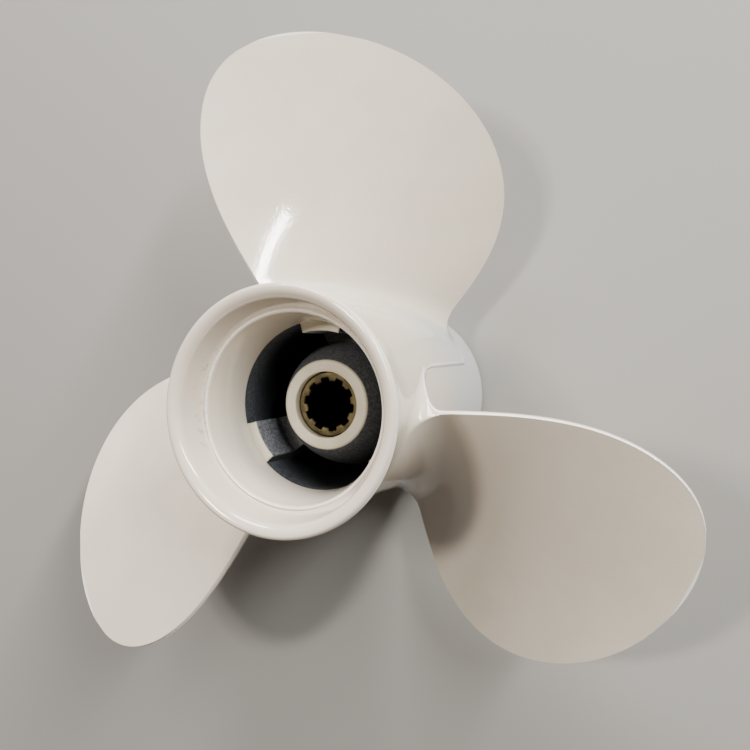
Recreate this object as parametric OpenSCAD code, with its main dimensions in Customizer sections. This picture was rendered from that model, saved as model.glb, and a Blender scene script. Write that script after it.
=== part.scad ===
// Three-bladed outboard boat propeller with a through-hub exhaust and a cushioned, splined hub.
// Millimetres. +Z runs along the shaft and points aft, out of the bell mouth.
// The origin is on the shaft axis, in the plane of the hub's forward face.

/* [Blades] */
// Diameter swept by the blade tips
diameter = 250.8; // [240:0.2:260]
// Advance of the blade face in one turn
pitch = 304.8; // [280:0.1:330]
// Loss of pitch per millimetre of radius, as a share
pitch_fade = 0.00064; // [0:0.00002:0.0008]
// Height of the blade face's reference line at the root
rake_height = 49.13; // [45:0.01:52]
// Lean of the reference line towards the stern per millimetre of radius
rake_slope = 0.1256; // [0.05:0.0001:0.2]
// Curl of the blade face away from a true screw surface
face_curl = 6.24; // [0:0.01:8]
// Thickness of the blade where it leaves the hub
root_thickness = 6.6; // [5:0.1:8]
// Thickness of the blade at the tip
tip_thickness = 2.2; // [1.8:0.1:3]
// Thickness of the rounded edges
edge_thickness = 1.5; // [1.2:0.1:1.8]
// Radius of the fillet between blade and hub
root_fillet = 6; // [4:0.5:7]

/* [Blade outline] */
// Angle of the mid-chord line at the root, from the blade's reference ray
root_angle = 2.07; // [0:0.01:4]
// Extra sweep of the mid-chord line at the tip
tip_sweep = 12.98; // [8:0.01:16]
// How far the sweep reaches down the blade
sweep_reach = 0.511; // [0.4:0.001:0.6]
// Half the angle that the blade covers
half_angle = 33.64; // [30:0.01:36]
// Roundness of the outline
outline_turn = 99.56; // [95:0.01:102]
// Flattening of the outline near the tip
outline_trim = 0.8; // [0:0.01:1]

/* [Outer hub] */
// Radius of the forward face
front_r = 34.9; // [34.2:0.1:36]
// Radius of the waist ahead of the bell
waist_r = 32.6; // [32:0.1:33.4]
// Height of the waist
waist_z = 84; // [82:0.5:88]
// Radius of the bell's lip
lip_r = 38; // [36.5:0.1:40]
// Height of the lip's widest line
lip_z = 108.2; // [105:0.1:112]
// Radius of the rounding on the lip
lip_round = 1.3; // [0.9:0.1:1.5]
// Bore of the outer hub at the forward face
front_bore_r = 31; // [30:0.1:31.4]
// Narrowest bore, at the aft ends of the webs
throat_r = 28; // [27.6:0.1:28.6]
// Height of the throat
throat_z = 78; // [76:0.5:80]
// Radius of the edge where the bell's mouth starts
mouth_r = 29.9; // [29.4:0.1:30.6]
// Height of that edge
mouth_z = 98.6; // [96:0.1:100]

/* [Inner hub] */
// Outer radius of the inner tube
shell_r = 23.2; // [22.5:0.1:23.6]
// Outer radius of its aft end
neck_r = 14.7; // [14:0.1:16]
// Height of its aft end
neck_z = 73.3; // [72:0.1:75]
// Height where the inner tube starts to narrow
shoulder_z = 42; // [36:0.5:46]
// Radius of the chamber for the rubber bush
chamber_r = 18; // [17:0.1:18.6]
// Height of the chamber's aft end
chamber_z = 57; // [52:0.5:58]
// Bore of the neck round the sleeve
neck_bore_r = 11.05; // [11.03:0.01:11.06]
// Middle angle of the first web
web_angle = 98; // [90:1:106]
// Angle that each web covers
web_span = 31; // [26:1:36]
// Inner radius of the web's aft lug
lug_r = 24.5; // [24:0.1:25.5]

/* [Cushion and sleeve] */
// Outer radius of the brass sleeve
sleeve_r = 10.97; // [10.96:0.01:11]
// Aft face of the sleeve
sleeve_top = 70.8; // [69:0.1:72]
// Forward face of the sleeve
sleeve_base = 3; // [2:0.5:5]
// Radius between the spline grooves
spline_minor_r = 7.8; // [7.4:0.05:8]
// Radius at the bottom of the spline grooves
spline_major_r = 8.92; // [8.6:0.02:9]
// Number of spline grooves
spline_count = 10; // [8:1:12]
// Width of a spline groove
spline_w = 2.8; // [2.4:0.1:3]
// Radius of the plain lead-in at the forward end
pilot_r = 9.6; // [9.4:0.05:9.8]
// Length of the plain lead-in
pilot_len = 8; // [5:0.5:12]
// Gap round the bush
bush_gap = 0.05; // [0.02:0.01:0.09]

/* [Hidden] */
$fn = 96;
enamel = [0.87, 0.86, 0.83];
bare_casting = [0.30, 0.31, 0.33];
rubber = [0.09, 0.09, 0.09];
brass = [0.66, 0.56, 0.36];

blade_ray = 90;          // angle of the first blade's reference ray
tip_r = diameter / 2;
outline_r = 40;          // radius at which the outline's parameter reaches 1
chord_steps = 20;
span_steps = 20;
root_stations = [30.5, 33.4, 34.2, 35.2, 36.6, 38.4, 41];
front_bevel = 0.6;
shell_base = 2;          // forward face of the inner tube
web_base = 6;            // forward face of the webs
shoulder_steps = 8;
shoulder_power = 2.2;
web_root_step = 4;       // shoulder step at which the webs leave the inner tube
bush_base = 7;
bush_top = chamber_z - 0.5;
edge_break = 0.4;
eps = 0.01;

// Outside of the outer hub: a cone to the waist, then a bell that opens as a parabola
function hub_r(z) = z < waist_z
    ? front_r + (waist_r - front_r) * z / waist_z
    : waist_r + (lip_r - waist_r) * pow((z - waist_z) / (lip_z - waist_z), 2);

// Inside of the outer hub: a cone down to the throat, then one that opens to the mouth's edge
function bore_r(z) = z < throat_z
    ? front_bore_r + (throat_r - front_bore_r) * z / throat_z
    : throat_r + (mouth_r - throat_r) * (z - throat_z) / (mouth_z - throat_z);

// Outside of the inner tube: straight, then a rounded shoulder down to the neck
function shell_outer(z) = z < shoulder_z ? shell_r
    : shell_r - (shell_r - neck_r) * pow((z - shoulder_z) / (neck_z - shoulder_z), shoulder_power);
function shoulder_height(i) = shoulder_z + (neck_z - shoulder_z) * i / shoulder_steps;

// Solid envelope of the outer hub, used to trim the blades where they meet it
module hub_envelope() {
    rotate_extrude()
        polygon([[0, -5], [hub_r(0), -5], [hub_r(0), 0],
                 for (i = [0:8]) let (z = waist_z + (lip_z - waist_z) * i / 8) [hub_r(z), z],
                 [0, lip_z]]);
}

module exhaust_barrel() {
    color(enamel)
    rotate_extrude()
        polygon([[front_bore_r, 0], [front_r - front_bevel, 0], [hub_r(front_bevel), front_bevel],
                 [waist_r, waist_z], [bore_r(waist_z), waist_z], [throat_r, throat_z]]);
}

module flare_ring() {
    lip_c = lip_r - lip_round;
    color(enamel)
    rotate_extrude()
        polygon([for (i = [0:8]) let (z = waist_z + (lip_z - waist_z) * i / 8) [hub_r(z), z],
                 for (a = [22.5:22.5:180]) [lip_c + lip_round * cos(a), lip_z + lip_round * sin(a)],
                 [mouth_r + 0.5, mouth_z + 0.5], [mouth_r, mouth_z],
                 [bore_r(waist_z), waist_z]]);
}

module hub_shell() {
    color(bare_casting)
    rotate_extrude()
        polygon([[chamber_r, shell_base], [shell_r, shell_base],
                 for (i = [0:shoulder_steps - 1]) [shell_outer(shoulder_height(i)), shoulder_height(i)],
                 [neck_r, neck_z - edge_break], [neck_r - edge_break, neck_z],
                 [neck_bore_r, neck_z], [neck_bore_r, chamber_z], [chamber_r, chamber_z]]);
}

// A rib between the two tubes, with a lug that runs on aft along the outer one
module web(turn) {
    lug_base = shoulder_height(web_root_step) + 3;
    color(bare_casting)
    rotate([0, 0, web_angle - web_span / 2 + turn])
    rotate_extrude(angle = web_span)
        polygon([[shell_r, web_base], [bore_r(web_base), web_base], [throat_r, throat_z],
                 [lug_r, throat_z], [lug_r, lug_base],
                 for (i = [web_root_step:-1:0]) [shell_outer(shoulder_height(i)), shoulder_height(i)]]);
}

// Angle of the blade's edge: u runs from -1 at the leading root over 0 at the tip to 1 at the trailing root
function edge_angle(u) = root_angle + tip_sweep * exp(-pow(u / sweep_reach, 2))
    + half_angle * sin(outline_turn * u) - outline_trim * sin(3 * outline_turn * u);
function outline_u(r) = sqrt(max(0, (tip_r - r) / (tip_r - outline_r)));

// Height of the driving face: a screw surface with falling pitch, rake and a slight curl
function face_z(r, a) = pitch / 360 * (1 - pitch_fade * (r - 80)) * a
    + rake_height + rake_slope * (r - outline_r) - face_curl * pow(a * PI / 180, 2);

// Swell of the blade in its root fillet, a quarter circle
function swell(r) = let (d = min(root_fillet, max(0, r - waist_r - 0.8)))
    root_fillet - sqrt(pow(root_fillet, 2) - pow(root_fillet - d, 2));

// Thickness across the chord, s from -1 at the leading edge to 1 at the trailing edge
function thickness(r, s) = let (mid = tip_thickness + (root_thickness - tip_thickness)
        * (tip_r - r) / (tip_r - waist_r))
    edge_thickness + (mid - edge_thickness) * pow(max(0, 1 - s * s), 0.8);

// A point on the section at radius r, `depth` below the driving face, square to it
function section_point(r, a, depth) = let (slope = atan(pitch / (2 * PI * r)),
        b = a + depth * sin(slope) / r * 180 / PI)
    [r * cos(b), r * sin(b), face_z(r, a) - depth * cos(slope)];

function section(r) = let (
        u = outline_u(r),
        grow = swell(r),
        reach = grow * cos(atan(pitch / (2 * PI * r))) / r * 180 / PI,
        lead = edge_angle(-u) - reach,
        trail = edge_angle(u) + reach,
        edge_round = edge_thickness / 2 / r * 180 / PI * 0.7)
    [for (i = [0:chord_steps]) let (s = -1 + 2 * i / chord_steps)
         section_point(r, lead + (trail - lead) * (s + 1) / 2, -grow),
     section_point(r, trail + edge_round, edge_thickness / 2),
     for (i = [chord_steps:-1:0]) let (s = -1 + 2 * i / chord_steps)
         section_point(r, lead + (trail - lead) * (s + 1) / 2, thickness(r, s) + grow),
     section_point(r, lead - edge_round, edge_thickness / 2)];

module blade(turn) {
    stations = concat(root_stations,
        [for (k = [1:span_steps]) let (u = k < span_steps ? 1 - k / span_steps : 0.02)
            tip_r - (tip_r - 41) * u * u]);
    rows = len(stations);
    n = 2 * chord_steps + 4;
    last = (rows - 1) * n;
    points = [for (r = stations) each section(r)];
    skin = [for (j = [0:rows - 2], i = [0:n - 1])
        let (a = j * n + i, b = j * n + (i + 1) % n)
        each [[a, b, b + n], [a, b + n, a + n]]];
    cap = [for (i = [0:chord_steps - 1])
        let (f = 2 * chord_steps + 2 - i)
        each [[i, f, f - 1], [i, f - 1, i + 1]]];
    cap_ends = [[chord_steps, chord_steps + 2, chord_steps + 1], [0, n - 1, n - 2]];
    root_cap = concat(cap, cap_ends);
    tip_cap = [for (t = root_cap) [t[0] + last, t[2] + last, t[1] + last]];
    color(enamel)
    difference() {
        rotate([0, 0, blade_ray + turn])
            polyhedron(points, concat(skin, root_cap, tip_cap));
        hub_envelope();
    }
}

module rubber_bush() {
    color(rubber)
    translate([0, 0, bush_base])
    difference() {
        cylinder(r = chamber_r - bush_gap, h = bush_top - bush_base);
        translate([0, 0, -1]) cylinder(r = sleeve_r, h = bush_top - bush_base + 2);
    }
}

module splined_sleeve() {
    length = sleeve_top - sleeve_base;
    color(brass)
    translate([0, 0, sleeve_base])
    difference() {
        rotate_extrude()
            polygon([[0, 0], [sleeve_r - edge_break, 0], [sleeve_r, edge_break],
                     [sleeve_r, length - edge_break], [sleeve_r - edge_break, length], [0, length]]);
        translate([0, 0, -1]) cylinder(r = spline_minor_r, h = length + 2);
        translate([0, 0, -1]) cylinder(r = pilot_r, h = pilot_len + 1);
        intersection() {
            translate([0, 0, -1]) cylinder(r = spline_major_r, h = length + 2);
            for (i = [0:spline_count - 1])
                rotate([0, 0, i * 360 / spline_count])
                    translate([spline_minor_r - 1, -spline_w / 2, 1])
                        cube([3, spline_w, length + 2]);
        }
    }
}

module web_1() { web(0); }
module web_2() { web(120); }
module web_3() { web(240); }
module blade_1() { blade(0); }
module blade_2() { blade(120); }
module blade_3() { blade(240); }

exhaust_barrel();
flare_ring();
hub_shell();
web_1();
web_2();
web_3();
blade_1();
blade_2();
blade_3();
rubber_bush();
splined_sleeve();
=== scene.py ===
import math
import bpy
import numpy as np
from mathutils import Matrix, Vector


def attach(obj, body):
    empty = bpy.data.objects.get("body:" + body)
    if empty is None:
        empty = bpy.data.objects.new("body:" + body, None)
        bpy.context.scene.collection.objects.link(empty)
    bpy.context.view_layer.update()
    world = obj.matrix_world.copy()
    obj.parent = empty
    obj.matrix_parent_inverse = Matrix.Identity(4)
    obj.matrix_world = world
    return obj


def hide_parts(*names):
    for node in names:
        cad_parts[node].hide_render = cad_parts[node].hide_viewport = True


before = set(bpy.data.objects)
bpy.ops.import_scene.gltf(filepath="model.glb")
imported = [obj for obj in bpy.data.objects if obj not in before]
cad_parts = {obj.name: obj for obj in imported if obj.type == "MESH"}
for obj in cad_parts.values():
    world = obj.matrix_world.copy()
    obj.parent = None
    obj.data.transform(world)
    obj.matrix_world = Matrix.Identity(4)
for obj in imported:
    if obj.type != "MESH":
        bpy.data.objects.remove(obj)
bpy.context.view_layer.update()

milli = 0.001  # every shape below is a numpy grid in millimetres


# Smooth step: 0 below low, 1 above high, and 3t^2 - 2t^3 between them.
def ramp(low, high, value):
    t = np.clip((value - low) / (high - low), 0.0, 1.0)
    return t * t * (3.0 - 2.0 * t)


# Smaller of a and b, with the corner between them rounded over width.
def roundCorner(a, b, width):
    h = np.clip(0.5 + 0.5 * (b - a) / width, 0.0, 1.0)
    return b * (1 - h) + a * h - width * h * (1 - h)


# Joins runs of (start, end, steps) into one rising or falling list with no doubles.
def spaced(*runs):
    parts = [np.linspace(a, b, int(n), endpoint=False) for a, b, n in runs]
    return np.concatenate(parts + [[runs[-1][1]]])


# Polar radius, angle in degrees and height, as x, y, z.
def cylinderPoint(r, angle, z):
    a = np.radians(angle)
    return np.stack(np.broadcast_arrays(r * np.cos(a), r * np.sin(a), z), axis=-1)


# A skin over a grid of points; rows and columns may close on themselves.
# edge is how much of a moulded edge each point is; the enamel shows it as a pale line of thinner
# paint and painted highlight.
def gridPiece(name, points, body, material, closedRows=False, closedCols=False,
              caps=False, sharp=35.0, hides=(), edge=None):
    rows, cols = points.shape[:2]
    i = np.arange(rows if closedRows else rows - 1)[:, None]
    j = np.arange(cols if closedCols else cols - 1)[None, :]
    iNext, jNext = (i + 1) % rows, (j + 1) % cols
    quads = np.stack([i * cols + j, i * cols + jNext, iNext * cols + jNext, iNext * cols + j],
                     axis=-1).reshape(-1, 4)
    verts = points.reshape(-1, 3)
    corner = verts[quads]
    area = np.cross(corner[:, 2] - corner[:, 0], corner[:, 3] - corner[:, 1])
    inward = (corner.mean(axis=1) * area).sum() < 0  # the volume's sign tells which way it faces
    faces = quads.tolist()
    if caps:  # a fan from the middle of the first and the last row
        middle = np.array([points[0].mean(axis=0), points[-1].mean(axis=0)])
        verts = np.concatenate([verts, middle])
        first, last = rows * cols, (rows - 1) * cols
        ring = np.arange(cols)
        after = (ring + 1) % cols
        faces += np.stack([np.full(cols, first), after, ring], axis=-1).tolist()
        faces += np.stack([np.full(cols, first + 1), last + ring, last + after], axis=-1).tolist()
    mesh = bpy.data.meshes.new(name)
    if inward:
        faces = [face[::-1] for face in faces]
    mesh.from_pydata((verts * milli).tolist(), [], faces)
    mesh.update()
    mesh.validate()
    piece = bpy.data.objects.new(name, mesh)
    bpy.context.scene.collection.objects.link(piece)
    mesh.shade_smooth()
    mesh.set_sharp_from_angle(angle=math.radians(sharp))
    if edge is not None:
        share = np.zeros(len(verts), np.float32)
        share[:rows * cols] = edge.reshape(-1)
        mesh.attributes.new("edge", "FLOAT", "POINT").data.foreach_set("value", share)
    mesh.materials.append(material)
    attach(piece, body)
    if hides:
        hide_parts(*hides)
    print("made", name, len(verts), "points")
    return piece


# A value socket that takes part in Python sums; each operator adds one Math node.
class Wire:
    def __init__(self, paint, socket):
        self.paint, self.socket = paint, socket

    def maths(self, operation, *values, clamp=False):
        return self.paint.node("ShaderNodeMath", {"operation": operation, "use_clamp": clamp},
                               {i: v for i, v in enumerate(values)})

    def __add__(self, other): return self.maths("ADD", self, other)
    def __radd__(self, other): return self.maths("ADD", other, self)
    def __sub__(self, other): return self.maths("SUBTRACT", self, other)
    def __rsub__(self, other): return self.maths("SUBTRACT", other, self)
    def __mul__(self, other): return self.maths("MULTIPLY", self, other)
    def __rmul__(self, other): return self.maths("MULTIPLY", other, self)
    def __pow__(self, other): return self.maths("POWER", self, other)
    def clamped(self): return self.maths("ADD", self, 0.0, clamp=True)


# A material with a Principled shader, and one method that adds any other node.
class Paint:
    def __init__(self, name, **constants):
        self.material = bpy.data.materials.new(name)
        self.material.use_nodes = True
        self.tree = self.material.node_tree
        self.shader = self.tree.nodes["Principled BSDF"]
        for label, value in constants.items():
            self.shader.inputs[label.replace("_", " ")].default_value = value

    def node(self, kind, settings=None, inputs=None, output=0):
        made = self.tree.nodes.new(kind)
        for key, value in (settings or {}).items():
            setattr(made, key, value)
        for key, value in (inputs or {}).items():
            socket = made.inputs[key]
            if isinstance(value, Wire):
                self.tree.links.new(value.socket, socket)
            elif value is not None:
                socket.default_value = value
        return Wire(self, made.outputs[output])

    # Object coordinates in metres.
    def place(self):
        return self.node("ShaderNodeTexCoord", output="Object")

    # x, y and z of the surface, in millimetres.
    def axes(self):
        split = self.node("ShaderNodeSeparateXYZ", inputs={0: self.place()})
        return [Wire(self, out) * 1000.0 for out in split.socket.node.outputs]

    # Distance from the shaft axis: the root of x squared plus y squared.
    def radius(self, x, y):
        return (x * x + y * y) ** 0.5

    # Noise whose blobs are about size millimetres wide.
    def noise(self, size, detail=3.0, roughness=0.5, stretch=None):
        where = self.place()
        if stretch:
            where = self.node("ShaderNodeMapping", inputs={0: where, "Scale": stretch})
        return self.node("ShaderNodeTexNoise", inputs={
            "Vector": where, "Scale": 1000.0 / size, "Detail": detail, "Roughness": roughness})

    # 0 below low, 1 above high, smooth between.
    def window(self, value, low, high):
        return self.node("ShaderNodeMapRange", {"interpolation_type": "SMOOTHSTEP"},
                         {"Value": value, "From Min": low, "From Max": high,
                          "To Min": 0.0, "To Max": 1.0})

    # Colour a where factor is 0 and colour b where it is 1.
    def mix(self, factor, a, b):
        return self.node("ShaderNodeMix", {"data_type": "RGBA"}, {0: factor, 6: a, 7: b}, output=2)

    # Relief of the given depth in metres, on top of another normal if there is one.
    def bump(self, height, distance, strength=1.0, normal=None):
        return self.node("ShaderNodeBump", inputs={
            "Height": height, "Distance": distance, "Strength": strength, "Normal": normal})

    # Joins wires to the shader's sockets by name.
    def feed(self, **links):
        for label, wire in links.items():
            self.tree.links.new(wire.socket, self.shader.inputs[label.replace("_", " ")])
        return self.material


# Red, green and blue with full alpha.
def colour(r, g, b):
    return (r, g, b, 1.0)


# the camera stands aft of the mouth, above and to one side
view = {
    "place": (115.41, 36.03, 332.79), "aim": (8.47, 10.78, 53.64), "roll": -94.458,
    "lens": 41.24, "sensor": 36.0,
}
eye = bpy.data.cameras.new("eye")
eye.lens, eye.sensor_width = view["lens"], view["sensor"]
eye.clip_start, eye.clip_end = 0.01, 20.0
eyeObject = bpy.data.objects.new("eye", eye)
bpy.context.scene.collection.objects.link(eyeObject)
ahead = Vector(view["aim"]) - Vector(view["place"])
rolled = Matrix.Rotation(math.radians(view["roll"]), 3, "Z")
pose = (ahead.to_track_quat("-Z", "Y").to_matrix() @ rolled).to_4x4()
pose.translation = Vector(view["place"]) * milli
eyeObject.matrix_world = pose
bpy.context.scene.camera = eyeObject

# two soft boxes, two small lamps overhead and a tall narrow one for the streak on the enamel
lights = {
    # direction from the hub, distance, width and height in metres, power in watts, colour
    "topBox": ((-0.33, 0.84, 0.44), 1.3, 0.55, 0.40, 21.0, (1.0, 0.97, 0.95)),
    "sideBox": ((0.45, 0.85, 0.30), 1.5, 0.8, 0.8, 9.5, (0.99, 1.0, 0.94)),
    "overLampA": ((-0.30, 0.14, 0.945), 1.3, 0.11, 0.11, 5.4, (1.0, 0.93, 0.84)),
    "overLampB": ((-0.22, 0.20, 0.955), 1.3, 0.11, 0.11, 4.6, (1.0, 0.93, 0.84)),
    "stripLamp": ((0.56, 0.60, 0.54), 1.3, 0.080, 0.85, 26.0, (1.0, 0.99, 0.95)),
}
for name, (way, far, wide, high, power, tint) in lights.items():
    lamp = bpy.data.lights.new(name, "AREA")
    lamp.shape, lamp.size, lamp.size_y = "RECTANGLE", wide, high
    lamp.energy, lamp.color = power, tint
    lampObject = bpy.data.objects.new(name, lamp)
    back = Vector(way).normalized()
    side = Vector((0.0, 0.8, -0.6)).cross(back).normalized()
    turned = Matrix((side, back.cross(side), back)).transposed().to_4x4()
    turned.translation = Vector((0.0, 0.0, 0.06)) + back * far
    lampObject.matrix_world = turned
    bpy.context.scene.collection.objects.link(lampObject)

studio = {
    "sky": colour(1.0, 0.88, 0.76), "skyStrength": 0.09,
    "floor": colour(0.315, 0.306, 0.292), "floorRoughness": 0.6,
    "floorReach": 6.0, "floorZ": -0.0003,  # metres; the floor is a hair below the hub's face
}
world = bpy.data.worlds.new("studio")
world.use_nodes = True
sky = world.node_tree.nodes["Background"]
sky.inputs["Color"].default_value = studio["sky"]
sky.inputs["Strength"].default_value = studio["skyStrength"]
bpy.context.scene.world = world

reach, floorZ = studio["floorReach"], studio["floorZ"]
floorCorners = [(-reach, -reach, floorZ), (reach, -reach, floorZ),
                (reach, reach, floorZ), (-reach, reach, floorZ)]
floorMesh = bpy.data.meshes.new("floor")
floorMesh.from_pydata(floorCorners, [], [(0, 1, 2, 3)])
floor = bpy.data.objects.new("floor", floorMesh)
bpy.context.scene.collection.objects.link(floor)
floorPaint = Paint("paleFloor", Base_Color=studio["floor"], Roughness=studio["floorRoughness"])
floorMesh.materials.append(floorPaint.material)
print("camera, lamps and floor are set")


enamel = {
    "cream": colour(0.735, 0.65, 0.545), "paleCream": colour(0.775, 0.695, 0.59),
    "blotch": colour(0.705, 0.62, 0.51), "thinPaintAndHighlight": colour(0.97, 0.94, 0.90),
    "forward": colour(0.55, 0.56, 0.575), "throat": colour(0.60, 0.57, 0.50),
    "dirt": colour(0.34, 0.26, 0.15),
    "bareMetal": colour(0.010, 0.012, 0.015), "mist": colour(0.115, 0.130, 0.155),
    "coat": 0.35, "coatRoughness": 0.035, "roughness": 0.07, "bareRoughness": 0.50,
    "cloudSize": 38.0, "blotchSize": 9.0, "peelSize": 1.3, "speckSize": 0.55,  # mm
    "peelDepth": 0.00010, "speckDepth": 0.000012,  # metres
}


# Sprayed warm white enamel with a clear coat. The cream is a blend of two tones by slow noise,
# paler where the edge attribute is high (thinner paint and a painted highlight), with painted cool
# shade towards the front of the hub's outside and painted shade in the throat below the bead,
# dirty in the groove by the bead, and gone from the bore, where a grey mist lies on dark metal.
def enamelPaint(name):
    e = enamel
    p = Paint(name, IOR=1.5, Coat_IOR=1.5,
              Coat_Weight=e["coat"], Coat_Roughness=e["coatRoughness"])
    x, y, z = p.axes()
    r = p.radius(x, y)
    cloud = p.noise(e["cloudSize"], 2.0)
    blotch = p.noise(e["blotchSize"], 4.0, 0.6)
    speck = p.noise(e["speckSize"], 2.0, 0.7)
    peel = p.noise(e["peelSize"], 2.0, 0.5)
    ripple = p.noise(e["blotchSize"], 1.0, 0.4)
    edge = p.node("ShaderNodeAttribute", {"attribute_name": "edge"}, output="Fac")
    white = p.mix(p.window(cloud, 0.35, 0.65), e["cream"], e["paleCream"])
    white = p.mix(p.window(blotch, 0.45, 0.75) * 0.3, white, e["blotch"])
    # pale edges: partly thinner paint, partly a painted highlight
    white = p.mix(p.window(edge, 0.1, 0.65), white, e["thinPaintAndHighlight"])
    # painted shade: cool grey darkening towards the front of the hub's outside
    forward = (1 - p.window(z, 18.0, 70.0)) * (1 - p.window(r, 35.7, 37.5))
    white = p.mix(forward * 0.9, white, e["forward"])
    # dirt lies in the groove ahead of the mouth's bead, on one side
    groove = p.window(z, 98.2, 98.6) * (1 - p.window(z, 99.5, 104.0))
    groove = groove * (1 - p.window(r, 32.5, 34.0)) * (1 - p.window(x, -30.0, -22.0))
    dirt = groove * p.window(p.noise(2.2, 4.0, 0.7), 0.52, 0.68)
    white = p.mix(dirt * 0.65, white, e["dirt"])
    # painted shade: the throat below the bead is darker and greener
    throat = (1 - p.window(r, 29.6, 30.2)) * (1 - p.window(z, 88.0, 97.5))
    white = p.mix(throat * 0.6, white, e["throat"])
    # forward of the throat the spray gives out
    deep = (1 - p.window(z + 0.5 * (speck - 0.5), 77.8, 78.1)) * (1 - p.window(r, 31.02, 31.2))
    fade = p.window(z + 12.0 * (speck - 0.5) + 5.0 * (blotch - 0.5), 58.0, 82.0)
    mist = p.window(p.noise(1.0, 3.0, 0.75), 0.40, 0.66)
    dark = p.mix((fade * (0.45 + 0.8 * mist)).clamped(), e["bareMetal"], e["mist"])
    white = p.mix(deep, white, dark)
    rough = e["roughness"] * (1 + blotch) + e["bareRoughness"] * deep
    normal = p.bump(0.6 * ripple + 0.6 * peel, e["peelDepth"], 0.5)
    normal = p.bump(speck, e["speckDepth"], 0.5, normal)
    return p.feed(Base_Color=white, Roughness=rough, Normal=normal)


castMetal = {
    "tubeDark": colour(0.022, 0.025, 0.031), "tubeLight": colour(0.045, 0.050, 0.061),
    "tubeMist": colour(0.12, 0.125, 0.135),
    "tubeCream": colour(0.62, 0.565, 0.43), "tubePaleCream": colour(0.69, 0.64, 0.50),
    "webDark": colour(0.020, 0.022, 0.027), "webLight": colour(0.042, 0.046, 0.055),
    "webMist": colour(0.22, 0.235, 0.27), "webShelf": colour(0.36, 0.33, 0.27),
    "webCream": colour(0.63, 0.58, 0.455), "webPaleCream": colour(0.69, 0.645, 0.52),
    "grainSize": 0.9, "speckSize": 0.45, "blotchSize": 7.0,  # mm
    "roughness": 0.62,
}


# Bare dark casting: two greys by fine noise, with a speckled mist of spray that grows with
# height, and solid cream on the neck's aft end and in its bore.
def innerCastingPaint(name):
    c = castMetal
    p = Paint(name, IOR=1.5)
    x, y, z = p.axes()
    r = p.radius(x, y)
    grain = p.noise(c["grainSize"], 4.0, 0.65)
    speck = p.noise(c["speckSize"], 2.0, 0.7)
    blotch = p.noise(c["blotchSize"], 3.0, 0.55)
    dark = p.mix(p.window(grain, 0.35, 0.7), c["tubeDark"], c["tubeLight"])
    mist = p.window(z + 14.0 * (speck - 0.5) + 5.0 * (blotch - 0.5), 40.0, 80.0)
    fleck = p.window(p.noise(1.0, 3.0, 0.75), 0.40, 0.66)
    dark = p.mix((mist * (0.35 + 0.9 * fleck)).clamped(), dark, c["tubeMist"])
    neckEnd = p.window(z + 0.4 * (speck - 0.5), 72.6, 73.1)
    neckBore = p.window(z, 70.0, 70.8) * (1 - p.window(r, 11.5, 12.0))
    coated = (neckEnd + neckBore).clamped()
    cream = p.mix(p.window(blotch, 0.35, 0.65), c["tubeCream"], c["tubePaleCream"])
    rough = c["roughness"] + 0.15 * grain - 0.34 * coated
    normal = p.bump(speck, 0.00003, 0.4, p.bump(grain, 0.00018, 0.7))
    return p.feed(Base_Color=p.mix(coated, dark, cream), Roughness=rough, Normal=normal)


# The webs: the same dark casting, with mist on the inner side, a thin dusting on the shelf and
# solid cream on the aft end.
def webPaint(name):
    c = castMetal
    p = Paint(name, IOR=1.5)
    x, y, z = p.axes()
    r = p.radius(x, y)
    grain = p.noise(c["grainSize"], 4.0, 0.65)
    speck = p.noise(c["speckSize"], 2.0, 0.7)
    blotch = p.noise(c["blotchSize"], 3.0, 0.55)
    dark = p.mix(p.window(grain, 0.35, 0.7), c["webDark"], c["webLight"])
    mist = p.window(z + 14.0 * (speck - 0.5), 56.0, 76.0) * (1 - p.window(r, 24.9, 25.6))
    fleck = p.window(p.noise(1.0, 3.0, 0.75), 0.40, 0.66)
    dark = p.mix((mist * (0.4 + 0.9 * fleck)).clamped(), dark, c["webMist"])
    shelf = p.window(z + 4.0 * (speck - 0.5), 56.0, 60.0) * (1 - p.window(r, 21.0, 23.2))
    spray = p.window(z + 0.3 * (speck - 0.5), 77.35, 77.75)
    cream = p.mix(p.window(blotch, 0.35, 0.65), c["webCream"], c["webPaleCream"])
    base = p.mix(spray, p.mix(shelf * 0.3, dark, c["webShelf"]), cream)
    rough = c["roughness"] + 0.12 * grain - 0.25 * spray
    return p.feed(Base_Color=base, Roughness=rough, Normal=p.bump(grain, 0.00016, 0.6))


rubber = {
    "black": colour(0.018, 0.018, 0.018), "bloom": colour(0.05, 0.048, 0.045),
    "grainSize": 0.5, "bloomSize": 6.0, "roughness": 0.62,
}


# Moulded black rubber: a dusty bloom where slow noise is high, which is also rougher.
def rubberPaint(name):
    p = Paint(name, IOR=1.5)
    bloom = p.noise(rubber["bloomSize"], 4.0, 0.6)
    grain = p.noise(rubber["grainSize"], 3.0, 0.6)
    base = p.mix(p.window(bloom, 0.4, 0.75), rubber["black"], rubber["bloom"])
    rough = rubber["roughness"] + 0.2 * bloom
    return p.feed(Base_Color=base, Roughness=rough, Normal=p.bump(grain, 0.00008, 0.5))


brass = {
    "bright": colour(0.122, 0.099, 0.050), "dull": colour(0.060, 0.050, 0.028),
    "deepShade": colour(0.022, 0.019, 0.013), "glint": colour(0.27, 0.23, 0.14),
    "rimShade": colour(0.035, 0.030, 0.020),
    "markSize": 0.35, "blotchSize": 3.5, "speckSize": 0.25, "roughness": 0.42,
}
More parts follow.
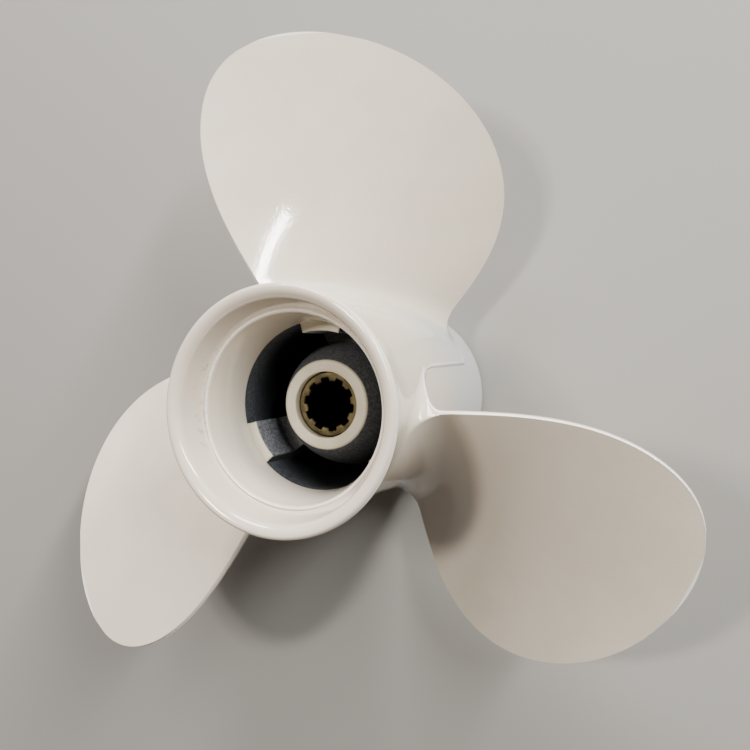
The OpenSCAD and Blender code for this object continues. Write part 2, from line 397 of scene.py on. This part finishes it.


# Broached brass: two tones by noise, darkened by painted shade below the end face and on the
# outer rim's chamfer, with a few bright specks, and marks that are stretched along the shaft.
def brassPaint(name):
    b = brass
    p = Paint(name, Metallic=1.0)
    x, y, z = p.axes()
    drawn = p.noise(b["markSize"], 3.0, 0.6, (1.0, 1.0, 0.03))
    blotch = p.noise(b["blotchSize"], 4.0, 0.6)
    speck = p.noise(b["speckSize"], 2.0, 0.7)
    base = p.mix(p.window(blotch, 0.35, 0.7), b["bright"], b["dull"])
    # painted shade deep in the sleeve, below its end face
    base = p.mix(1 - p.window(z, 69.3, 70.6), base, b["deepShade"])
    base = p.mix(p.window(speck, 0.6, 0.8) * 0.4, base, b["glint"])
    # painted shade on the chamfer at the outer rim
    base = p.mix(p.window(p.radius(x, y), 10.3, 10.8) * 0.8, base, b["rimShade"])
    normal = p.bump(speck, 0.00003, 0.35, p.bump(drawn, 0.00006, 0.5))
    return p.feed(Base_Color=base, Roughness=b["roughness"] + 0.22 * blotch, Normal=normal)


castEnamel = enamelPaint("castEnamel")
innerCasting = innerCastingPaint("innerCasting")
webCasting = webPaint("webCasting")
bushRubber = rubberPaint("bushRubber")
sleeveBrass = brassPaint("sleeveBrass")
print("finishes are mixed")


# the outer hub with its bell mouth
hub = {
    "frontR": 34.9, "waistR": 32.6, "waistZ": 84.0, "lipR": 38.0, "lipZ": 108.2,
    "lipRound": 1.2, "lipSoft": 3.4, "frontBevel": 0.6,
    "grooveR": 31.15, "grooveZ": 98.75, "throatR": 27.6, "throatZ": 78.0,
    "frontBore": 31.0, "aftBore": 28.05,
    "stepHeight": 0.5, "stepWidth": 0.9, "flashHeight": 0.2,  # the mould's parting step
    "firstBlade": 90.0,
}


# Angle of a blade's root on the hub, from the blade's ray: it runs straight up the screw.
def rootLine(z):
    return -31.5 + (z - 20.0) * (67.6 / 58.0)


# Height of the mould step: 0 ahead of the parting line and stepHeight behind it, with a low
# bell curve of flash along it, which comes alone with wantEdge. The line drops from a trailing
# root, runs forward along the hub, then round to the next leading root; the height at a point
# comes from its distance to that line.
def stepRise(angle, z, wantEdge=False):
    local = (angle - hub["firstBlade"] - rootLine(z)) % 120.0 + rootLine(z)  # from the blade's ray
    side = np.radians(local - 60.0) * 34.0  # mm round the hub from the line's forward run
    front = z - np.interp(local, [60.0, 66.5, 74.0, 81.3, 92.0], [17.3, 16.2, 14.1, 11.8, 10.5])
    back = z - np.interp(local, [35.8, 41.8, 48.1, 53.8, 58.9, 60.6, 65.0],
                         [77.6, 74.4, 70.8, 66.7, 62.4, 57.0, 40.0])
    inside = roundCorner(side, front, 1.6)
    inside = -roundCorner(-inside, -back * 0.7, 2.0)
    w = hub["stepWidth"]
    flash = np.exp(-((inside - 0.7 * w) / (0.6 * w)) ** 2)
    if wantEdge:
        return flash
    return hub["stepHeight"] * ramp(-0.5 * w, 0.5 * w, inside) + hub["flashHeight"] * flash


# Outside of the hub: a cone to the waist, then a parabola out to the lip.
def hubRadius(z):
    rise = np.clip((z - hub["waistZ"]) / (hub["lipZ"] - hub["waistZ"]), 0.0, 1.0)
    cone = hub["frontR"] + (hub["waistR"] - hub["frontR"]) * z / hub["waistZ"]
    bell = hub["waistR"] + (hub["lipR"] - hub["waistR"]) * rise ** 2
    return np.where(z < hub["waistZ"], cone, bell)


# Bore of the hub: a cone that narrows from the front to the throat.
def boreRadius(z):
    return hub["frontBore"] + (hub["aftBore"] - hub["frontBore"]) * z / hub["throatZ"]


# Outside of the hub with the mould step on it.
def hubSurface(angle, z):
    return hubRadius(z) + stepRise(angle, z)


# The hub's closed profile carried round the shaft: outside from the front bevel to the lip,
# then back through the mouth, the bead, the throat and the bore to the front face.
def makeHub():
    # around: one third, finer at the step, three times
    third = spaced((0.0, 57.5, 56), (57.5, 63.0, 16), (63.0, 120.0, 54))[:-1] + hub["firstBlade"]
    around = np.concatenate([third, third + 120.0, third + 240.0])[None, :]
    bevel, size = np.radians(np.linspace(0.0, 90.0, 5)[:-1]), hub["frontBevel"]
    zOut = np.concatenate([size - size * np.cos(bevel),
                           spaced((size, 11.0, 6), (11.0, 19.0, 26), (19.0, 60.0, 26),
                                  (60.0, 80.0, 34), (80.0, 107.4, 26))])
    rOut = hubRadius(zOut)
    rOut[:len(bevel)] -= size * (1 - np.sin(bevel))
    z = zOut[:, None]
    outside = cylinderPoint(rOut[:, None] + stepRise(around, z), around, z)
    # the lip: two rounds that meet at its top, the outer one tighter
    outerTurn = np.radians(np.linspace(-20.0, 90.0, 11))
    innerTurn = np.radians(np.linspace(90.0, 163.0, 13)[1:])
    tight, soft = hub["lipRound"], hub["lipSoft"]
    lipC, lipTop = hub["lipR"] - tight, hub["lipZ"] + tight
    lip = np.concatenate([
        np.stack([lipC + tight * np.cos(outerTurn), hub["lipZ"] + tight * np.sin(outerTurn)], -1),
        np.stack([lipC + soft * np.cos(innerTurn), lipTop - soft + soft * np.sin(innerTurn)], -1)])
    # the mouth's cone, bowed a little, down to the groove
    s = np.linspace(0.0, 1.0, 12)[1:]
    mouth = np.stack([lip[-1, 0] + (hub["grooveR"] - lip[-1, 0]) * s,
                      lip[-1, 1] + (hub["grooveZ"] - lip[-1, 1]) * (s + 0.12 * s * (1 - s))], -1)
    # the bead: a shallow groove, then a narrow rounded land before the throat
    bead = np.array([[30.95, 98.52], [30.82, 98.46], [30.68, 98.6], [30.54, 98.88],
                     [30.36, 99.0], [30.12, 98.98], [29.94, 98.84], [29.84, 98.55],
                     [29.76, 98.2], [29.6, 97.85], [29.48, 97.5], [29.43, 97.1]])
    throatR, throatTop = hub["throatR"], hub["throatZ"] + 2.5
    drop = np.linspace(0.0, 1.0, 16)[1:]
    throat = np.stack([throatR + (bead[-1, 0] - throatR) * (1 - drop) ** 2.2,
                       bead[-1, 1] - (bead[-1, 1] - throatTop) * drop], -1)
    ledge = np.array([[27.6, 79.5], [27.6, 78.6], [27.66, 78.2], [27.85, 77.9]])
    zBore = spaced((77.5, 2.0, 26))
    bore = np.stack([boreRadius(zBore), zBore], -1)
    face = np.array([[31.05, 0.7], [31.2, 0.25], [31.6, 0.0], [32.6, 0.0], [33.6, 0.0]])
    profile = np.concatenate([lip, mouth, bead, throat, ledge, bore, face])
    inside = cylinderPoint(profile[:, :1], around, profile[:, 1:])
    points = np.concatenate([outside, inside])
    # the parting line, the rim of the lip and the bead get a pale line of thinner paint and painted
    # highlight, where the enamel catches the light
    edge = np.zeros(points.shape[:2])
    edge[:len(zOut)] = 0.75 * stepRise(around, z, True)
    edge[len(zOut):len(zOut) + 5] = 0.5
    land = len(zOut) + len(lip) + len(mouth) + 3
    edge[land:land + 5] = np.array([1.0, 0.5, 0.3, 0.5, 1.0])[:, None]
    return gridPiece("cast_hub", points, "casting", castEnamel, edge=edge,
                     closedRows=True, closedCols=True, hides=("exhaust_barrel", "flare_ring"))


makeHub()

# the three blades
blade = {
    "tipR": 125.4, "outlineR": 40.0, "pitch": 304.8, "pitchFade": 0.00064,
    "rakeHeight": 49.13, "rakeSlope": 0.1256, "curl": 6.24,
    "rootThick": 6.6, "tipThick": 2.2, "edgeThick": 1.5,
    "rootAngle": 2.07, "tipSweep": 12.98, "sweepReach": 0.511,
    "halfAngle": 33.64, "outlineTurn": 99.56, "trim": 0.8,
    "faceFillet": 11.0, "backFillet": 6.0, "leadFillet": 8.5,
    "trailReach": 12.0, "trailRise": 7.2, "ridgeReach": 19.9,
    "edgeRound": 0.55, "ridgeSweep": 8.0, "rays": (90.0, 210.0, 330.0),
}


# Angle of the outline: leading root at u = -1, tip at 0, trailing root at 1; a sine for
# the width, less a third harmonic, with a bell curve of sweep at the tip.
def edgeAngle(u):
    turn = np.radians(blade["outlineTurn"] * u)
    return (blade["rootAngle"] + blade["tipSweep"] * np.exp(-(u / blade["sweepReach"]) ** 2)
            + blade["halfAngle"] * np.sin(turn) - blade["trim"] * np.sin(3 * turn))


# Driving face: a screw whose pitch falls with radius, leaned aft, and curled by angle squared.
def faceHeight(r, angle):
    return (blade["pitch"] / 360.0 * (1 - blade["pitchFade"] * (r - 80.0)) * angle
            + blade["rakeHeight"] + blade["rakeSlope"] * (r - blade["outlineR"])
            - blade["curl"] * np.radians(angle) ** 2)


# Quarter ellipse: reach at d = 0, where it is tangent to the hub, and 0 from d = rise up.
def fillet(d, reach, rise):
    t = np.clip(1.0 - d / rise, 0.0, 1.0)
    return reach * (1.0 - np.sqrt(1.0 - t * t))


# Cubic curve from a to e that is pulled by b and c; t is the share of the way.
def bezier(a, b, c, e, t):
    t = t[:, None]
    return a * (1 - t) ** 3 + 3 * b * t * (1 - t) ** 2 + 3 * c * t * t * (1 - t) + e * t ** 3


# Outline of the blade d above the hub, as chord share, extra chord in mm, depth in mm and share
# of edge: the face from leading to trailing edge, the trailing round, the back, the leading
# round. spread widens the parts that lie under the hub's surface.
def sectionAt(r0, d, spread):
    b = blade
    share = np.clip((b["tipR"] - r0) / (b["tipR"] - hub["waistR"]), 0.0, 1.0)
    middle = b["tipThick"] + (b["rootThick"] - b["tipThick"]) * share
    tipEnd = np.sqrt(np.clip(1 - np.clip((r0 - b["tipR"] + 0.9) / 0.9, 0.0, 1.0) ** 2, 0.0004, 1.0))
    thin = b["edgeThick"] * tipEnd
    growFace = fillet(d, b["faceFillet"], b["faceFillet"]) + spread
    growBack = fillet(d, b["backFillet"], b["backFillet"]) + spread
    growLead = fillet(d, b["leadFillet"], b["leadFillet"]) + spread
    growTrail = fillet(d, b["trailReach"], b["trailRise"]) + spread
    ridgeY = fillet(d, b["ridgeReach"], b["trailRise"])
    ridge = np.clip(1.0 - d / b["trailRise"], 0.0, 1.0)
    s = -np.cos(np.linspace(0.0, math.pi, 37))  # chord shares, closest together near both edges
    back = thin + (middle * tipEnd - thin) * np.clip(1 - s * s, 0, 1) ** 0.8
    parts = ([], [], [], [])

    def add(chord, x, y, onEdge=0.0):
        for part, value in zip(parts, np.broadcast_arrays(chord, x, y, onEdge)):
            part.append(value)

    half = 0.5 * thin
    # face up to near the trailing edge
    add(s[:-1], 0.0, -growFace)
    # trailing end: curve round to the ridge, the ridge's small round, curve back to the back
    outward = 1.5 * ridge ** 0.5 if ridge > 0 else 0.0
    centre = np.array([outward - (ridgeY / 9.2) ** 2 - b["edgeRound"], half + ridgeY])
    start = math.radians(-90.0 + 125.0 * ridge ** 0.7)
    stop = math.radians(90.0 + 18.0 * ridge ** 0.7)
    size = np.array([b["edgeRound"], max(0.45, half) if r0 < 100 else half])
    a1 = centre + size * np.array([math.cos(start), math.sin(start)])
    a2 = centre + size * np.array([math.cos(stop), math.sin(stop)])
    p0 = np.array([0.0, -growFace])
    p1 = np.array([0.02 + 0.8 * growTrail, -growFace])
    pull = 0.02 + 0.5 * ridgeY + 0.35 * growTrail
    p2 = a1 + np.array([math.sin(start), -math.cos(start)]) * pull
    curve = bezier(p0, p1, p2, a1, np.linspace(0.0, 1.0, 15)[:-1])
    add(1.0, curve[:, 0], curve[:, 1])
    phi = np.linspace(start, stop, 7)
    add(1.0, centre[0] + size[0] * np.cos(phi), centre[1] + size[1] * np.sin(phi), 1.0)
    # the back, drawn in below the ridge
    sweep = b["ridgeSweep"] * ridge ** 2
    p3 = np.array([-sweep, thin + growBack])
    q1 = a2 + np.array([-math.sin(stop), math.cos(stop)]) * (0.02 + 0.35 * ridgeY)
    q2 = p3 + np.array([0.01 + 0.35 * ridgeY, 0.0])
    curve = bezier(a2, q1, q2, p3, np.linspace(0.0, 1.0, 10)[1:])
    add(1.0, curve[:, 0], curve[:, 1])
    sBack = s[::-1][1:-1]
    shift = -sweep * np.clip((sBack + 0.2) / 1.2, 0.0, 1.0) ** 2
    add(sBack, shift, back[::-1][1:-1] + growBack)
    # leading round, closest together at its middle
    t = np.linspace(-1.0, 1.0, 25)
    phi = np.radians(90.0 + 180.0 * (0.5 + 0.5 * t * np.abs(t) ** 0.4))
    radius = b["edgeRound"] + growLead
    depth = half + np.where(np.sin(phi) > 0, growBack, growFace)
    add(-1.0, radius * np.cos(phi) + 0.5, half + depth * np.sin(phi),
        np.exp(-((phi - math.pi) * radius / 0.75) ** 2))
    return [np.concatenate(part) for part in parts]


# Rings of the blade. Low rings follow the hub's own surface, so they meet it at a tangent, and
# high rings lie at one radius. A point goes along the helix by its chord share and extra chord,
# and across it by its depth.
def bladePoints(ray):
    b = blade
    base = hub["waistR"] + 0.6
    height = b["tipR"] - base
    # heights above the hub: under it, closest together at its surface, then wider
    low = np.array([-0.9, -0.4, -0.12, -0.035, -0.008, 0.0, 0.005, 0.015, 0.04, 0.09,
                    0.17, 0.28, 0.42, 0.6, 0.82, 1.1, 1.45, 1.85, 2.3, 2.8,
                    3.4, 4.0, 4.7, 5.4, 6.1, 6.8, 7.6, 8.5])
    u = np.linspace(1.0, 0.13, 44)[1:]
    upper = b["tipR"] - (height - low[-1]) * u ** 1.7 - base
    tip = height - 0.9 * (1 - np.sin(np.radians(np.linspace(0, 90, 8))))
    tip = tip[tip > upper[-1]]
    tip[-1] -= 0.002
    levels = np.concatenate([low, upper, tip])
    # the root's underside: the lowest outline drawn in towards its middle, along the hub
    drawnIn = [0.93, 0.7, 0.45, 0.2]
    levels = np.concatenate([np.full(len(drawnIn), low[0]), levels])
    shrink = np.concatenate([drawnIn, np.zeros(len(levels) - len(drawnIn))])
    rings, edges = [], []
    for d, drawn in zip(levels, shrink):
        above, below = max(d, 0.0), max(-d, 0.0)
        s, x, y, onEdge = sectionAt(base + above, above, 4.5 * math.sqrt(below))
        # the edge share gives the blade's edges and tip a pale line: thinner paint and painted
        # highlight
        edges.append(np.where(d > height - 0.7, 1.0, onEdge) * (1 - drawn))
        s, x, y = s * (1 - drawn), x * (1 - drawn), y * (1 - drawn) + 3.0 * drawn
        r = np.full_like(s, base + d)
        hold = ramp(8.0, 26.0, d)
        for _ in range(8):  # the radius of each point depends on where it lands on the hub
            chordR = np.clip(r, 31.0, b["tipR"])
            u = np.sqrt(np.clip((b["tipR"] - chordR) / (b["tipR"] - b["outlineR"]), 0.0, None))
            lead, trail = edgeAngle(-u), edgeAngle(u)
            slope = np.arctan(b["pitch"] / (2 * math.pi * chordR))
            along = lead + (trail - lead) * (s + 1) / 2 + np.degrees(x * np.cos(slope) / chordR)
            z = faceHeight(chordR, along) - y * np.cos(slope)
            angle = along + np.degrees(y * np.sin(slope) / chordR)
            r = (1 - hold) * (hubSurface(angle + ray, z) + d) + hold * (base + d)
        rings.append(cylinderPoint(r, angle + ray, z))
    return np.stack(rings), np.stack(edges)


for number, ray in enumerate(blade["rays"], start=1):
    points, edge = bladePoints(ray)
    gridPiece(f"blade_skin_{number}", points, "casting", castEnamel,
              closedCols=True, caps=True, sharp=60.0, hides=(f"blade_{number}",), edge=edge)

# the inner tube, with its shoulder and narrow neck
inner = {
    "outerR": 23.2, "neckR": 14.7, "neckZ": 73.3, "shoulderZ": 42.0, "power": 2.2,
    "baseZ": 2.0, "chamberR": 18.0, "chamberZ": 57.0, "boreR": 11.05,
}


# Outside of the inner tube: straight, then a rounded shoulder that falls by a power of height.
def shoulderRadius(z):
    t = np.clip((z - inner["shoulderZ"]) / (inner["neckZ"] - inner["shoulderZ"]), 0.0, 1.0)
    return inner["outerR"] - (inner["outerR"] - inner["neckR"]) * t ** inner["power"]


# The tube's closed profile carried round the shaft: outside, neck end, bore, chamber, front end.
def makeInnerTube():
    i = inner
    zOut = spaced((i["baseZ"] + 0.5, i["shoulderZ"], 20), (i["shoulderZ"], 72.9, 50))
    outside = np.stack([shoulderRadius(zOut), zOut], -1)
    end = np.array([[14.72, 73.05], [14.6, 73.2], [14.4, 73.28], [14.1, 73.3], [13.0, 73.3],
                    [12.0, 73.3], [11.5, 73.28], [11.25, 73.2], [11.1, 73.05], [11.05, 72.8]])
    zBore = spaced((72.0, i["chamberZ"] + 0.3, 14))
    bore = np.stack([np.full(len(zBore), i["boreR"]), zBore], -1)
    chamber = np.array([[11.3, 57.0], [14.0, 57.0], [17.6, 57.0], [17.9, 56.9], [18.0, 56.6]])
    zIn = spaced((54.0, 3.0, 16))
    wall = np.stack([np.full(len(zIn), i["chamberR"]), zIn], -1)
    foot = np.array([[18.05, 2.5], [18.2, 2.15], [18.6, 2.0],
                     [20.5, 2.0], [22.6, 2.0], [23.05, 2.12]])
    profile = np.concatenate([outside, end, bore, chamber, wall, foot])
    around = np.arange(0.0, 360.0, 2.5)[None, :]
    points = cylinderPoint(profile[:, :1], around, profile[:, 1:])
    return gridPiece("inner_tube", points, "casting", innerCasting,
                     closedRows=True, closedCols=True, hides=("hub_shell",))


makeInnerTube()

# the three webs between the tubes
web = {
    "middle": 98.0, "span": 31.0, "baseZ": 6.0, "shelfZ": 60.0, "topZ": 78.0,
    "lugR": 24.5, "endRound": 0.8, "overlap": 0.6, "turns": (0.0, 120.0, 240.0),
}


# A rib between the tubes, one row for each height. A row's four sides are inner, leading, outer
# and trailing; aft of the shelf the inner side steps out from the tube to the lug, in a concave
# curve, and the aft end is rounded by a quarter circle.
def makeWeb(number, turn):
    w = web
    heights = spaced((w["baseZ"], 50.0, 14), (50.0, 58.0, 10), (58.0, 64.0, 24),
                     (64.0, 76.8, 14), (76.8, w["topZ"], 8))
    t = np.linspace(-1.0, 1.0, 33)
    rows = []
    for z in heights:
        outerR = boreRadius(z) + w["overlap"]
        step = ramp(w["shelfZ"] - 2.0, w["shelfZ"] + 1.6, z)
        innerR = (shoulderRadius(z) - w["overlap"]) * (1 - step) + w["lugR"] * step
        past = max(0.0, z - w["topZ"] + w["endRound"])
        innerR += w["endRound"] - math.sqrt(w["endRound"] ** 2 - min(past, w["endRound"]) ** 2)
        side = w["span"] / 2 - math.degrees(past ** 2 * 0.6 / 26.0)
        inside = innerR + 10.5 * step * np.clip(np.abs(t) - 0.9, 0, 1) ** 2
        across = np.linspace(innerR, outerR, 7)[1:-1]
        flank = 1.0 + 0.16 * np.clip(1 - (across - innerR) / 2.2, 0, 1) ** 2 * (1 - step)
        ringR = np.concatenate([inside, across, np.full(len(t), outerR), across[::-1]])
        ringA = np.concatenate([side * t, side * flank, side * t[::-1], -side * flank[::-1]])
        rows.append(cylinderPoint(ringR, ringA + w["middle"] + turn, z))
    return gridPiece(f"web_rib_{number}", np.stack(rows), "casting", webCasting,
                     closedCols=True, caps=True, sharp=40.0, hides=(f"web_{number}",))


for number, turn in enumerate(web["turns"], start=1):
    makeWeb(number, turn)

# the brass sleeve with its spline
sleeve = {
    "outerR": 10.97, "baseZ": 3.0, "topZ": 70.8, "minorR": 7.8, "majorR": 8.92,
    "grooves": 10, "grooveWidth": 2.8, "grooveSoft": 0.22, "pilotR": 9.6, "pilotLength": 8.0,
}


# A tube whose bore follows round-cornered grooves: the bore radius is the minor radius, raised
# to the major radius where the angle lies in a groove.
def makeSleeve():
    k = sleeve
    local = spaced((-18.0, -12.5, 3), (-12.5, -7.0, 12), (-7.0, 7.0, 6),
                   (7.0, 12.5, 12), (12.5, 18.0, 3))[:-1]  # degrees either side of a groove
    starts = 360.0 / k["grooves"] * np.arange(k["grooves"])[:, None]
    around = (local[None, :] + starts).reshape(-1)
    across = np.radians(np.abs(np.tile(local, k["grooves"]))) * 8.4  # mm from the groove's middle
    edge = k["grooveWidth"] / 2
    groove = 1.0 - ramp(edge - k["grooveSoft"], edge + k["grooveSoft"], across)
    boreR = k["minorR"] + (k["majorR"] - k["minorR"]) * groove
    outerR, pilotR, baseZ, topZ = k["outerR"], k["pilotR"], k["baseZ"], k["topZ"]
    pilotTop = baseZ + k["pilotLength"]
    # outside and aft face, the splined bore with its chamfer, then the pilot bore
    rings = [(outerR - 0.4, baseZ), (outerR, baseZ + 0.4)]
    rings += [(outerR, z) for z in np.linspace(8.0, 66.0, 8)]
    rings += [(outerR, topZ - 0.45), (outerR - 0.12, topZ - 0.15), (outerR - 0.4, topZ),
              (10.2, topZ), (9.6, topZ)]
    rings += [(boreR + 0.45, topZ), (boreR + 0.28, topZ - 0.05),
              (boreR + 0.1, topZ - 0.2), (boreR, topZ - 0.5)]
    rings += [(boreR, z) for z in np.linspace(topZ - 4.0, pilotTop + 0.8, 14)]
    rings += [(boreR + 0.05, pilotTop + 0.4), (9.2, pilotTop), (pilotR, pilotTop),
              (pilotR, 7.0), (pilotR, 3.5), (pilotR + 0.35, baseZ)]
    points = np.stack([cylinderPoint(r, around, z) for r, z in rings])
    return gridPiece("brass_sleeve", points, "cushion_core", sleeveBrass,
                     closedRows=True, closedCols=True, sharp=40.0, hides=("splined_sleeve",))


# the rubber bush inside the tube
bush = {"outerR": 17.95, "boreR": 10.97, "baseZ": 7.0, "topZ": 56.5, "soft": 1.2}


# A rubber ring with rounded ends and a shallow moulded groove at each end.
def makeBush():
    outer, bore, soft = bush["outerR"], bush["boreR"], bush["soft"]
    base, top = bush["baseZ"], bush["topZ"]
    turn = np.radians(np.linspace(0.0, 90.0, 6))
    corner = np.stack([outer - soft + soft * np.cos(turn), top - soft + soft * np.sin(turn)], -1)
    groove = [(15.2, top), (14.9, top - 0.35), (14.3, top - 0.6), (13.7, top - 0.35), (13.4, top)]
    lip = [(bore + 0.5, top), (bore + 0.1, top - 0.15), (bore, top - 0.5)]
    upper = np.concatenate([corner, groove, lip])
    lower = np.stack([upper[::-1, 0], base + top - upper[::-1, 1]], -1)
    boreWall = np.stack([np.full(6, bore), np.linspace(48, 14, 6)], -1)
    outerWall = np.stack([np.full(6, outer), np.linspace(14, 48, 6)], -1)
    profile = np.concatenate([upper, boreWall, lower, outerWall])
    around = np.arange(0.0, 360.0, 3.0)[None, :]
    points = cylinderPoint(profile[:, :1], around, profile[:, 1:])
    return gridPiece("bush_ring", points, "cushion_core", bushRubber,
                     closedRows=True, closedCols=True, hides=("rubber_bush",))


makeSleeve()
makeBush()
